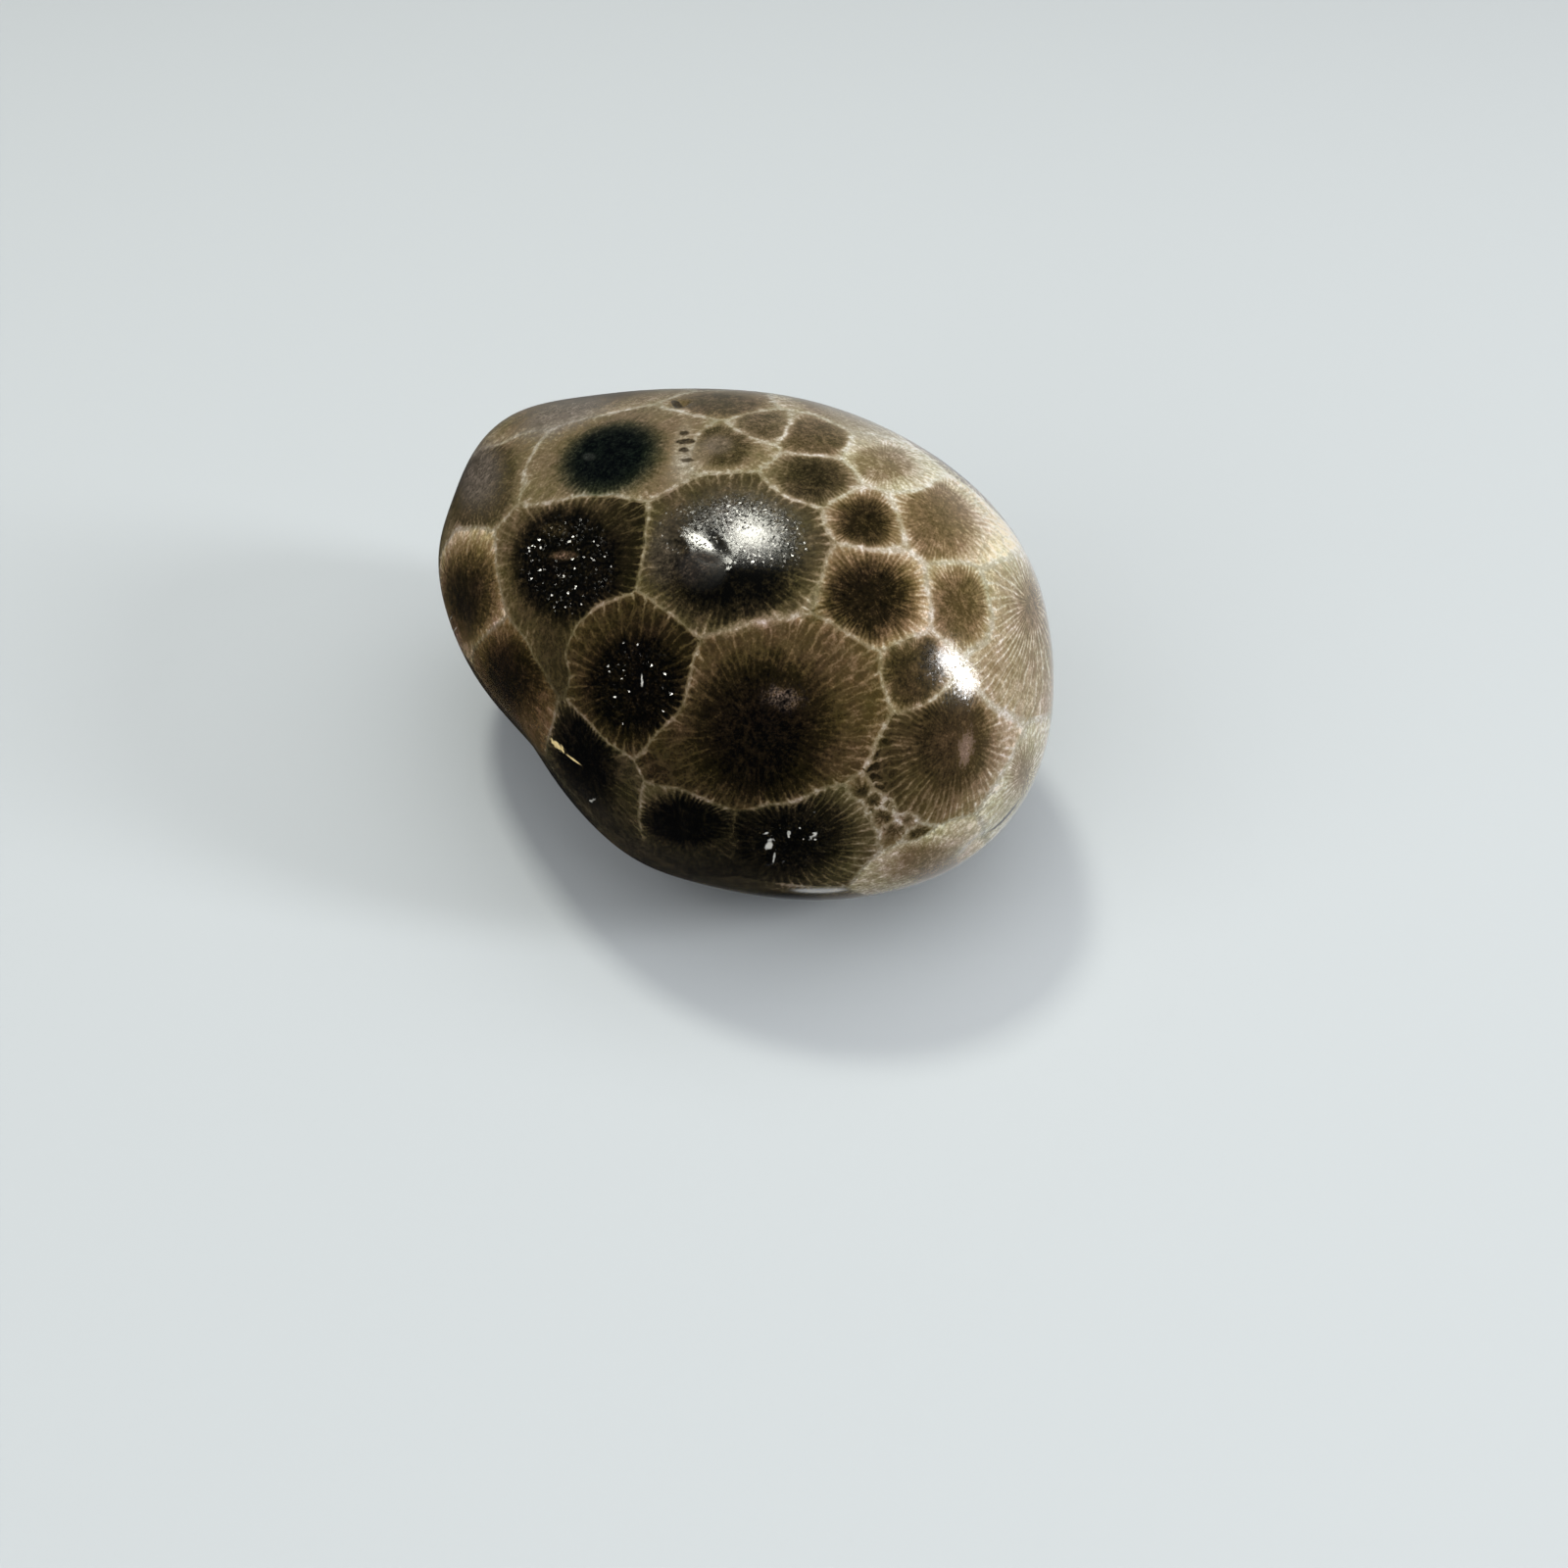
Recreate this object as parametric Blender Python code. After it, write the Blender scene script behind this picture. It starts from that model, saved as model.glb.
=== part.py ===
"""A petoskey stone: one polished cobble of fossil colony coral, lying on its small flat spot.

It grew and turned to stone as one piece, so it is one closed solid. Its form is an egg drawn out along X, with
the broad end at +X, and low swells and flats where the pebble was worn unevenly. A few small knobs, hollows and
a chip break the polish. The origin is the middle of the flat spot, and the stone lies on the plane z = 0.
"""

import math

import bmesh
import bpy
from mathutils import Vector

MM = 0.001

# The egg in millimetres: half its length, width and height, and where its middle lies above the flat spot
HALF_LENGTH = 26.4
HALF_WIDTH = 18.3
HALF_HEIGHT = 16.2
MIDDLE = (-4.5, 0.0, 15.7)
# The share by which the section grows from the middle towards the broad end
TAPER = 0.13

# Where the stone is worn unevenly: azimuth and elevation of the place seen from the middle of the egg and how far
# it spreads, in degrees, then how far it stands out from the egg, in millimetres
SWELLS = {
    "shoulder above the narrow end": (-178, 24, 11, 0.8),
    "flat on the narrow end": (-165, 9, 9, -0.5),
    "flat on the front": (-111, -15, 15, -0.8),
    "belly": (-74, -37, 16, 0.8),
    "swell under the broad end": (2, -30, 18, 0.7),
    "flat on the broad end": (28, -2, 16, -1.2),
    "crown": (100, 55, 24, 0.2),
    "flat on the back": (105, -10, 26, -0.6),
}

# Small knobs, hollows and chips in the polish, given in the same way
RELIEF = {
    "smooth knob in the largest corallite": (-54, 49, 4.0, 0.35),
    "crystal hollow on the left": (-102, 41, 8.5, -0.25),
    "crystal hollow in the round corallite": (-67, 25.5, 7.5, -0.20),
    "low boss in the middle corallite": (-38, 23.5, 4.5, 0.20),
    "crystal hollow at the front": (-38.5, 0, 5.0, -0.25),
    "chip at the top": (159, 68, 2.0, -0.30),
    "chip at the lower edge": (-7, -10, 3.0, -0.35),
    "wave in the left edge": (-131, 6, 6.0, -0.20),
    "wave in the lower left edge": (-80, -11, 5.0, -0.20),
}

SPHERE_LEVEL = 5
# Faces this close to a small feature, counted in its own spread, are split once more
RELIEF_REACH = 1.8
# Corners nearer than this are one corner, in millimetres
MERGE_DISTANCE = 0.02

STONE_COLOUR = (0.155, 0.110, 0.062, 1.0)
STONE_ROUGHNESS = 0.12


def toward(azimuth, elevation):
    """The unit direction at this azimuth and elevation, in degrees."""
    a, e = math.radians(azimuth), math.radians(elevation)
    return Vector((math.cos(e) * math.cos(a), math.cos(e) * math.sin(a), math.sin(e)))


def egg_radius(direction):
    """Distance from the middle to the plain egg's surface along a unit direction, in millimetres."""
    section = 1 + TAPER * direction.x
    return 1 / math.sqrt(
        (direction.x / HALF_LENGTH) ** 2
        + (direction.y / (HALF_WIDTH * section)) ** 2
        + (direction.z / (HALF_HEIGHT * section)) ** 2
    )


def stands_out(direction, places):
    """How far the named places together lift the surface along a unit direction, in millimetres."""
    lift = 0.0
    for azimuth, elevation, spread, height in places.values():
        away = math.degrees(direction.angle(toward(azimuth, elevation)))
        lift += height * math.exp(-((away / spread) ** 2))
    return lift


def stone_surface(direction):
    """The point of the stone's surface along a unit direction from the middle, in metres."""
    radius = egg_radius(direction) + stands_out(direction, SWELLS) + stands_out(direction, RELIEF)
    return (Vector(MIDDLE) + direction * radius) * MM


def near_relief(direction):
    """Whether a direction points at one of the small features or just beside it."""
    return any(
        math.degrees(direction.angle(toward(azimuth, elevation))) < RELIEF_REACH * spread
        for azimuth, elevation, spread, _ in RELIEF.values()
    )


def stone_mesh():
    """The worn pebble with its flat spot, as one closed mesh."""
    bm = bmesh.new()
    bmesh.ops.create_icosphere(bm, subdivisions=SPHERE_LEVEL, radius=1)
    fine = [edge for edge in bm.edges if any(near_relief(v.co.normalized()) for v in edge.verts)]
    bmesh.ops.subdivide_edges(bm, edges=fine, cuts=1, use_grid_fill=True)
    bmesh.ops.triangulate(bm, faces=bm.faces[:])
    for v in bm.verts:
        v.co = stone_surface(v.co.normalized())
    # The flat spot: everything below the plane that the stone lies on is ground away
    bmesh.ops.bisect_plane(
        bm, geom=bm.verts[:] + bm.edges[:] + bm.faces[:], plane_co=(0, 0, 0), plane_no=(0, 0, 1), clear_inner=True
    )
    bmesh.ops.remove_doubles(bm, verts=bm.verts, dist=MERGE_DISTANCE * MM)
    rim = [edge for edge in bm.edges if edge.is_boundary]
    bmesh.ops.edgeloop_fill(bm, edges=rim)
    bmesh.ops.recalc_face_normals(bm, faces=bm.faces)
    for face in bm.faces:
        face.smooth = True
    for edge in rim:
        edge.smooth = False
    mesh = bpy.data.meshes.new("petoskey_stone")
    bm.to_mesh(mesh)
    bm.free()
    return mesh


def polished_stone():
    """The stone's own material: dark brown fossil limestone with a glossy polish."""
    material = bpy.data.materials.new("polished fossil limestone")
    material.use_nodes = True
    shader = material.node_tree.nodes["Principled BSDF"]
    shader.inputs["Base Color"].default_value = STONE_COLOUR
    shader.inputs["Roughness"].default_value = STONE_ROUGHNESS
    shader.inputs["Metallic"].default_value = 0.0
    return material


def main():
    for thing in list(bpy.data.objects):
        bpy.data.objects.remove(thing, do_unlink=True)
    stone = bpy.data.objects.new("petoskey_stone", stone_mesh())
    stone.data.materials.append(polished_stone())
    bpy.context.scene.collection.objects.link(stone)


main()
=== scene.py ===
# %% [markdown]
# # A polished petoskey stone
# A petoskey stone is one piece of fossil colony coral that water and a polisher have worn to a smooth
# pebble. Everything that makes it recognisable is in its surface: many-sided corallites, each with a dark
# middle, fine septa that run out from it like the spokes of a wheel, and a pale wall shared with its
# neighbours. This lesson builds the pebble's skin finely enough to carry its small knobs and crystal faces,
# works out which corallite each place belongs to, and lets one material draw the rest.

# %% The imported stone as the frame
import math

import bmesh
import bpy
import numpy as np
from mathutils import Matrix, Vector, noise
from mathutils.bvhtree import BVHTree


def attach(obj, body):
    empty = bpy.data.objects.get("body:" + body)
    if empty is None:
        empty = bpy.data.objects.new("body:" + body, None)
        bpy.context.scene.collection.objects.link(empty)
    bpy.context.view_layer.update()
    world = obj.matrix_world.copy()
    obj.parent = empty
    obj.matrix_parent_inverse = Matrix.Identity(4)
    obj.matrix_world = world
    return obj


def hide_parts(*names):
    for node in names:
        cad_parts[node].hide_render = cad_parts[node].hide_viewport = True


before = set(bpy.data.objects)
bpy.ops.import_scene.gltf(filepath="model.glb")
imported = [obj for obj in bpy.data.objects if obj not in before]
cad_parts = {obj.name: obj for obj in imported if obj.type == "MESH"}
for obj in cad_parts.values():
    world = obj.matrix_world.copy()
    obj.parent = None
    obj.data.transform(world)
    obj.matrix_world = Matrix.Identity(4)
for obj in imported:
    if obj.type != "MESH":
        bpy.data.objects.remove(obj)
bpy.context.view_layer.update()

MM = 0.001

# %% [markdown]
# ## The camera
# The photograph looks down at the stone from the front right. The camera comes first, because the
# corallites are placed where its picture shows them: a pixel becomes a ray, and the ray meets the stone.

# %% The camera
PICTURE_SIDE = 1600
FOCAL_PIXELS = 1584
SENSOR_MM = 36
CAMERA_MM = (57.48, -67.18, 87.7)
CAMERA_TILT = 45.7
CAMERA_TURN = 40.0

camera = bpy.data.objects.new("camera", bpy.data.cameras.new("camera"))
bpy.context.scene.collection.objects.link(camera)
bpy.context.scene.camera = camera
camera.data.sensor_width = SENSOR_MM
camera.data.lens = FOCAL_PIXELS / PICTURE_SIDE * SENSOR_MM
camera.data.clip_start = 0.005
camera.data.clip_end = 10
camera.location = Vector(CAMERA_MM) * MM
camera.rotation_euler = (math.radians(CAMERA_TILT), 0, math.radians(CAMERA_TURN))
bpy.context.view_layer.update()
print("camera: lens", round(camera.data.lens, 2), "mm, at", [round(c, 4) for c in camera.location])

# %% [markdown]
# ## The worn pebble
# The pebble is an egg along X with low swells and flats where it wore unevenly, the same ones as in the
# part's source. Written for whole arrays of directions, the formula places a hundred thousand points at
# once.

# %% The pebble's form
HALF_LENGTH = 26.4
HALF_WIDTH = 18.3
HALF_HEIGHT = 16.2
MIDDLE = np.array([-4.5, 0.0, 15.7])
TAPER = 0.13

# Azimuth, elevation and spread in degrees, seen from the middle of the egg, then the height in millimetres
SWELLS = {
    "shoulder above the narrow end": (-178, 24, 11, 0.8),
    "flat on the narrow end": (-165, 9, 9, -0.5),
    "flat on the front": (-111, -15, 15, -0.8),
    "belly": (-74, -37, 16, 0.8),
    "swell under the broad end": (2, -30, 18, 0.7),
    "flat on the broad end": (28, -2, 16, -1.2),
    "crown": (100, 55, 24, 0.2),
    "flat on the back": (105, -10, 26, -0.6),
}
RELIEF = {
    "smooth knob in the largest corallite": (-54, 49, 4.0, 0.35),
    "crystal hollow on the left": (-102, 41, 8.5, -0.25),
    "crystal hollow in the round corallite": (-67, 25.5, 7.5, -0.20),
    "low boss in the middle corallite": (-38, 23.5, 4.5, 0.20),
    "crystal hollow at the front": (-38.5, 0, 5.0, -0.25),
    "chip at the top": (159, 68, 2.0, -0.30),
    "chip at the lower edge": (-7, -10, 3.0, -0.35),
    "wave in the left edge": (-131, 6, 6.0, -0.20),
    "wave in the lower left edge": (-80, -11, 5.0, -0.20),
}


def toward(azimuth, elevation):
    """The unit direction at this azimuth and elevation, in degrees."""
    a, e = np.radians(azimuth), np.radians(elevation)
    return np.array([np.cos(e) * np.cos(a), np.cos(e) * np.sin(a), np.sin(e)])


def egg_radius(directions):
    """Distance from the middle to the plain egg along unit directions, in millimetres."""
    section = 1 + TAPER * directions[:, 0]
    return 1 / np.sqrt(
        (directions[:, 0] / HALF_LENGTH) ** 2
        + (directions[:, 1] / (HALF_WIDTH * section)) ** 2
        + (directions[:, 2] / (HALF_HEIGHT * section)) ** 2
    )


def stands_out(directions, places):
    """How far the named places together lift the surface along unit directions, in millimetres."""
    lift = np.zeros(len(directions))
    for azimuth, elevation, spread, height in places.values():
        away = np.degrees(np.arccos(np.clip(directions @ toward(azimuth, elevation), -1, 1)))
        lift += height * np.exp(-((away / spread) ** 2))
    return lift


def pebble(directions):
    """Points of the worn pebble along unit directions from its middle, in millimetres."""
    radius = egg_radius(directions) + stands_out(directions, SWELLS) + stands_out(directions, RELIEF)
    return MIDDLE + directions * radius[:, None]


reaches = [round(float(egg_radius(toward(azimuth, 0)[None])[0]), 1) for azimuth in (0, 90, 180)]
print("the plain egg reaches", reaches, "mm at the broad end, the back and the narrow end")

# %% [markdown]
# ## From a pixel to a place on the stone
# A plain icosphere pushed onto the pebble's form is enough to aim at. Its tree answers each ray from the
# camera with the point that it meets, and the way the surface runs there.

# %% A target to aim at
AIM_LEVEL = 6


def pushed_icosphere(level):
    """An icosphere of this level with its corners pushed onto the pebble, in millimetres."""
    bm = bmesh.new()
    bmesh.ops.create_icosphere(bm, subdivisions=level, radius=1)
    directions = np.array([v.co.normalized() for v in bm.verts])
    for v, place in zip(bm.verts, pebble(directions)):
        v.co = place
    return bm


aim = pushed_icosphere(AIM_LEVEL)
target = BVHTree.FromBMesh(aim)
aim.free()


def on_stone(x, y):
    """The point of the stone that the photograph shows at a pixel, or None beside it."""
    along = Vector((x - PICTURE_SIDE / 2, PICTURE_SIDE / 2 - y, -FOCAL_PIXELS)).normalized()
    return target.ray_cast(Vector(CAMERA_MM), camera.matrix_world.to_3x3() @ along)[0]


print("the middle of the largest corallite:", [round(c, 1) for c in on_stone(744, 569)])

# %% [markdown]
# ## The corallites that the photograph shows
# Each corallite was one polyp's cup. Its outline is where it met its neighbours, so it is enough to know
# where each cup grew from: one or more round lobes, given by the pixel of their middle and their radius in
# millimetres. A place belongs to the corallite whose lobes are nearest, which gives straight or gently
# curved walls that meet in threes, as in the real coral. The dark disc in the middle is an ellipse of its
# own, given in pixels. How dark it is, the tone of the ring round it, how strongly the septa show and their
# number change from one corallite to the next, so they are listed one by one. So are a tint, from
# green-black below zero to warm brown above it, how softly the disc ends, and a lean, which makes the ring
# paler towards one side.

# %% A corallite and how it is described
IMAGE_RIGHT = np.array(camera.matrix_world.to_3x3() @ Vector((1, 0, 0)))
IMAGE_UP = np.array(camera.matrix_world.to_3x3() @ Vector((0, 1, 0)))
# The corners carry the number of septa in hundreds, so that all they carry is of about the same size
SEPTA_UNIT = 100
corallites = []


def unit(vector):
    """The vector with a length of one."""
    return vector / np.linalg.norm(vector)


def corallite(name, lobes, middle, across, along, dark, tone, septa, count, tint=0.0, soft=0.3, lean=(0, 0)):
    """Adds one corallite. across and along are the half axes of its disc, as vectors on the stone."""
    corallites.append({
        "name": name, "lobes": lobes, "middle": middle, "axes": np.stack([across, along], axis=1),
        "look": (dark, tone, septa), "style": (count / SEPTA_UNIT, tint, soft),
        "lean": lean[0] * IMAGE_RIGHT + lean[1] * IMAGE_UP,
    })


def oval_on_stone(x, y, wide, narrow, tilt):
    """The middle and the two half axes of an oval that the photograph shows, on the stone in millimetres."""
    step = 2
    middle = np.array(on_stone(x, y))
    across = (np.array(on_stone(x + step, y)) - np.array(on_stone(x - step, y))) / (2 * step)
    along = (np.array(on_stone(x, y + step)) - np.array(on_stone(x, y - step))) / (2 * step)
    c, s = math.cos(math.radians(tilt)), math.sin(math.radians(tilt))
    return middle, wide * (c * across - s * along), narrow * (s * across + c * along)


def seen(name, lobes, disc, dark, tone, septa, count, **style):
    """Adds a corallite by the pixels of its lobes, and of its disc with two half axes and a tilt."""
    lobes = [(np.array(on_stone(px, py)), radius) for px, py, radius in lobes]
    corallite(name, lobes, *oval_on_stone(*disc), dark, tone, septa, count, **style)


print("to the right in the picture is", [round(float(c), 2) for c in IMAGE_RIGHT], "in the world")

# %% [markdown]
# ### One row for each corallite
# The rows could be guessed by a program that looks for dark blobs, but a colony has only a few dozen
# corallites, so they are listed one by one. Long corallites take several lobes in a row.

# %% The corallites in the photograph
# Name, lobes as x, y and radius in millimetres, disc as x, y, half width, half height and tilt, then how
# dark the disc is, the tone of the ring, how strongly the septa show, and their number
seen("green-black oval",
     [(586, 474, 3.0), (568, 492, 1.5), (556, 464, 2.1), (628, 462, 3.6), (676, 450, 3.4), (672, 480, 1.7)],
     (621, 464, 46, 30, 22), 0.88, 0.49, 0.20, 60, tint=-1.0, soft=0.40)
seen("mauve, upper left", [(490, 488, 3.3), (516, 481, 2.9), (523, 463, 2.1), (464, 518, 2.4)],
     (488, 492, 27, 44, -20), 0.18, 0.50, 0.20, 44, soft=0.5)
seen("crystal-filled, left",
     [(575, 570, 4.3), (620, 565, 3.2), (552, 554, 3.2), (562, 640, 1.3), (572, 685, 0.3)],
     (576, 574, 53, 54, 0), 1.0, 0.28, 0.42, 54, tint=0.2, soft=0.25, lean=(-0.03, 0))
seen("dark, left edge", [(461, 592, 3.0), (476, 604, 2.9), (489, 627, 2.2)],
     (474, 608, 22, 40, 5), 0.76, 0.82, 0.50, 44, tint=0.7, soft=0.8)
seen("brown, left edge", [(503, 680, 2.6), (522, 697, 2.6), (545, 724, 2.0)],
     (520, 690, 24, 32, 20), 0.64, 0.47, 0.40, 44, tint=0.9, soft=0.7)
seen("round with crystals", [(646, 686, 4.7)],
     (648, 700, 47, 49, 0), 1.0, 0.235, 0.85, 38, tint=0.6, soft=0.25, lean=(-0.012, 0))
seen("largest, with the knob", [(735, 555, 5.7), (785, 552, 4.3), (800, 580, 3.2)],
     (744, 570, 62, 52, 0), 0.90, 0.33, 0.60, 60, soft=0.6, lean=(-0.005, -0.008))
seen("broad, in front", [(775, 730, 5.6), (835, 710, 4.9), (712, 770, 3.3), (675, 784, 1.2)],
     (776, 747, 56, 60, 0), 0.94, 0.29, 0.50, 62, tint=0.6, soft=0.6, lean=(0.004, 0.008))
seen("small above the right shoulder", [(828, 490, 2.8)],
     (830, 486, 27, 24, 0), 0.40, 0.44, 0.25, 50, soft=0.6)
seen("small, right of the largest", [(879, 532, 2.8)],
     (882, 533, 26, 24, 0), 0.58, 0.52, 0.55, 54, tint=0.5, soft=0.5)
seen("dark with many septa", [(884, 600, 3.6), (900, 614, 3.3)],
     (889, 609, 42, 38, 20), 0.74, 0.60, 0.70, 58, tint=0.6, soft=0.5, lean=(0.045, 0.0))
seen("brown, right", [(983, 615, 2.7)],
     (979, 616, 26, 34, 0), 0.22, 0.69, 0.60, 54, tint=0.45, soft=0.7)
seen("brown, below it", [(932, 690, 2.8)],
     (933, 686, 30, 40, 0), 0.42, 0.58, 0.40, 52, tint=0.45, soft=0.3)
seen("pink-hearted, lower right", [(960, 770, 4.6), (1000, 765, 3.2)],
     (975, 755, 34, 46, 0), 0.50, 0.48, 0.65, 54, tint=0.4, soft=0.8, lean=(0.065, 0.0))
seen("warm brown, upper right", [(955, 535, 2.9), (985, 530, 3.2)],
     (960, 526, 30, 38, 20), 0.20, 0.76, 0.50, 60, tint=0.4, soft=0.9, lean=(0.03, 0.0))
seen("tan, top right", [(905, 470, 3.1)],
     (902, 471, 26, 16, 0), 0.03, 0.77, 0.40, 56, soft=0.6)
seen("plain brown, top", [(830, 445, 2.6)],
     (831, 445, 34, 17, 0), 0.10, 0.55, 0.10, 52, tint=0.2, soft=0.6)
seen("plain brown, beside it", [(778, 436, 2.3)],
     (779, 433, 24, 14, 0), 0.06, 0.55, 0.10, 50, soft=0.6)
seen("grey-hearted, top", [(733, 452, 2.6), (760, 460, 1.8)],
     (735, 453, 29, 19, 0), 0.28, 0.55, 0.20, 50, soft=0.3)
seen("plain, top edge", [(740, 412, 2.4)],
     (735, 411, 34, 10, 0), 0.08, 0.54, 0.10, 50, tint=0.2, soft=0.5)
seen("black, lower left", [(590, 775, 3.0), (615, 800, 3.3)],
     (594, 776, 25, 47, 17), 1.0, 0.28, 0.60, 46, soft=0.4)
seen("black, below", [(698, 845, 3.4)],
     (696, 840, 42, 25, 0), 1.0, 0.30, 0.70, 46, soft=0.35, lean=(-0.03, 0.03))
seen("black with crystals, below", [(806, 865, 3.5), (850, 845, 2.6)],
     (806, 858, 50, 34, 10), 1.0, 0.24, 0.9, 48, soft=0.7, lean=(0.03, 0))
seen("fan on the right edge", [(1050, 640, 4.4), (1025, 690, 2.6)],
     (1052, 616, 9, 24, 0), 0.0, 0.65, 1.0, 42, tint=0.2, soft=0.8)
BROKEN_PIECES = (
    (880, 808, 0.6), (893, 817, 0.7), (886, 829, 0.5), (901, 833, 0.75), (909, 821, 0.55), (914, 845, 0.6),
    (927, 835, 0.7), (938, 849, 0.5),
)
for broken in BROKEN_PIECES:
    seen("broken piece", [broken], (*broken[:2], 8, 6, 0), 0.40, 0.42, 0.20, 12, tint=0.4, soft=0.9)
seen("pale, lower right", [(950, 878, 3.2)],
     (950, 884, 26, 14, 0), 0.0, 0.80, 0.20, 50, tint=0.2, soft=0.8)
seen("long, along the top left", [(525, 432, 2.4), (560, 420, 2.6), (600, 408, 2.6), (650, 401, 2.2)],
     (585, 413, 55, 8, 15), 0.10, 0.60, 0.10, 50, soft=0.8)
seen("pale, lower right edge", [(1040, 800, 3.0)],
     (1045, 790, 10, 26, 0), 0.0, 0.82, 1.0, 60, soft=0.8)
seen("sliver at the top", [(820, 412, 1.2), (870, 430, 1.5)],
     (848, 418, 26, 6, -20), 0.05, 0.70, 0.30, 40, soft=0.8)
print(len(corallites), "corallites show in the photograph")

# %% [markdown]
# ## The corallites on the sides that the photograph hides
# The colony went on all round, so the rest of the pebble gets corallites of the same sizes. Each new one
# grows in the widest gap left between the others, until no gap is wide enough. That fills the surface
# evenly without a grid, and the seeded draws give every run the same stone. The places to choose from are
# turned from one to the next by the golden angle, which spreads any number of them evenly over a ball.

# %% Corallites in the gaps
SEED = 7
CANDIDATES = 3000
WIDEST_GAP = 4.4
LOBE_ROUNDING = 0.3
TINY = 1e-30
# The ranges that a hidden corallite draws from: millimetres, apart from how many times longer than wide its
# disc is, and looks as in the rows above
HIDDEN = {
    "radius": (2.3, 3.5), "second away": (1.0, 2.6), "second smaller": (0.2, 0.9), "disc": (1.5, 2.6),
    "longer": (1.0, 1.3), "dark": (0.35, 1.0), "tone": (0.25, 0.55), "septa": (0.3, 0.9),
    "tint": (-0.4, 0.7), "soft": (0.3, 0.7),
}
HIDDEN_SEPTA = (34, 56)
HIDDEN_DISC_SHIFT = 0.6
draw = np.random.default_rng(SEED)


def lobe_distance(points, lobes):
    """Distance in millimetres from points to the rim of the nearest of these lobes, rounded between lobes."""
    depths = np.array([radius - np.linalg.norm(points - centre, axis=1) for centre, radius in lobes])
    return -LOBE_ROUNDING * np.log(np.sum(np.exp(depths / LOBE_ROUNDING), axis=0) + TINY)


def drawn(what):
    """A number drawn from this range of the hidden corallites."""
    return draw.uniform(*HIDDEN[what])


order = np.arange(CANDIDATES)
turns = order * math.pi * (3 - math.sqrt(5))
heights = 1 - (2 * order + 1) / CANDIDATES
level = np.sqrt(1 - heights**2)
spread = np.stack([np.cos(turns) * level, np.sin(turns) * level, heights], axis=1)
spots = pebble(spread)
free = np.min([lobe_distance(spots, c["lobes"]) for c in corallites], axis=0)
while free.max() > WIDEST_GAP:
    chosen = int(free.argmax())
    middle, outward = spots[chosen], spread[chosen]
    across = unit(np.cross(outward, draw.normal(size=3)))
    along = np.cross(outward, across)
    radius = drawn("radius")
    second = middle + across * drawn("second away")
    lobes = [(middle, radius), (second, radius - drawn("second smaller"))]
    disc = drawn("disc")
    corallite(
        "hidden", lobes, middle + across * HIDDEN_DISC_SHIFT, across * disc * drawn("longer"), along * disc,
        dark=drawn("dark"), tone=drawn("tone"), septa=drawn("septa"),
        count=int(draw.integers(*HIDDEN_SEPTA)), tint=drawn("tint"), soft=drawn("soft"),
    )
    free = np.minimum(free, lobe_distance(spots, lobes))
print(len(corallites), "corallites in all")

# %% [markdown]
# ## The skin
# The pebble's skin is an icosphere of eighty thousand triangles, about a third of a millimetre each, so
# that walls have enough corners to follow. Where something small is to be shaped, its faces are split
# further. A finer sphere all round would do too, but it would need sixteen times the triangles.

# %% Helpers for the skin
# How far the crystals reach in each of these discs, in half axes of the disc
CRYSTAL_DISCS = {"crystal-filled, left": 1.02, "round with crystals": 0.98, "black with crystals, below": 0.9}
# No crystal is further than this from its disc's middle, in millimetres, because the axes leave depth out
CRYSTAL_NEAR = 8
KNOBS_AND_CHIPS = ("low boss in the middle corallite", "chip at the top", "chip at the lower edge")
# Faces this close to a small feature, counted in its own spread, are split
RELIEF_REACH = 1.6


def disc_coordinates(points, cup):
    """Places relative to a corallite's disc, in half axes of the disc."""
    return (points - cup["middle"]) @ np.linalg.pinv(cup["axes"]).T


def crystal_share(points):
    """How far inside a crystal-filled disc each point is: 1 in the middle, 0 from the rim outwards."""
    share = np.zeros(len(points))
    for name, reach in CRYSTAL_DISCS.items():
        cup = next(c for c in corallites if c["name"] == name)
        near = np.linalg.norm(points - cup["middle"], axis=1) < CRYSTAL_NEAR
        out = np.linalg.norm(disc_coordinates(points, cup), axis=1) / reach
        share = np.maximum(share, np.where(near, np.clip(1 - out, 0, 1), 0))
    return share


def near_relief(points):
    """Whether each point is on one of the small knobs and chips."""
    near = np.zeros(len(points), bool)
    for name in KNOBS_AND_CHIPS:
        azimuth, elevation, reach, _ = RELIEF[name]
        directions = points - MIDDLE
        directions /= np.linalg.norm(directions, axis=1)[:, None]
        near |= directions @ toward(azimuth, elevation) > math.cos(math.radians(RELIEF_REACH * reach))
    return near


def places_of(bm):
    """Every corner of a bmesh as an array, in millimetres."""
    return np.array([v.co for v in bm.verts])


def push_out(bm):
    """Moves every corner along its own ray from the middle onto the pebble."""
    directions = places_of(bm) - MIDDLE
    directions /= np.linalg.norm(directions, axis=1)[:, None]
    for v, place in zip(bm.verts, pebble(directions)):
        v.co = place


def split_where(bm, wanted, cuts):
    """Splits the edges between corners marked as wanted, and pushes the new corners out."""
    bm.verts.index_update()
    edges = [e for e in bm.edges if wanted[e.verts[0].index] and wanted[e.verts[1].index]]
    bmesh.ops.subdivide_edges(bm, edges=edges, cuts=cuts, use_grid_fill=True)
    bmesh.ops.triangulate(bm, faces=bm.faces[:])
    push_out(bm)


print("crystals fill", len(CRYSTAL_DISCS), "discs")

# %% [markdown]
# ### Fine where it matters
# The largest corallite carries the knob and the sharpest reflections, so its edges are cut in four. The
# other knobs and chips and the crystals get their edges halved. Each new corner is pushed out onto the
# pebble at once, or it would stay on the flat face that it came from.

# %% The pushed-out skin
SKIN_LEVEL = 7
KNOB_PLACE = (742, 572)
KNOB_REACH = 4.6

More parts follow.
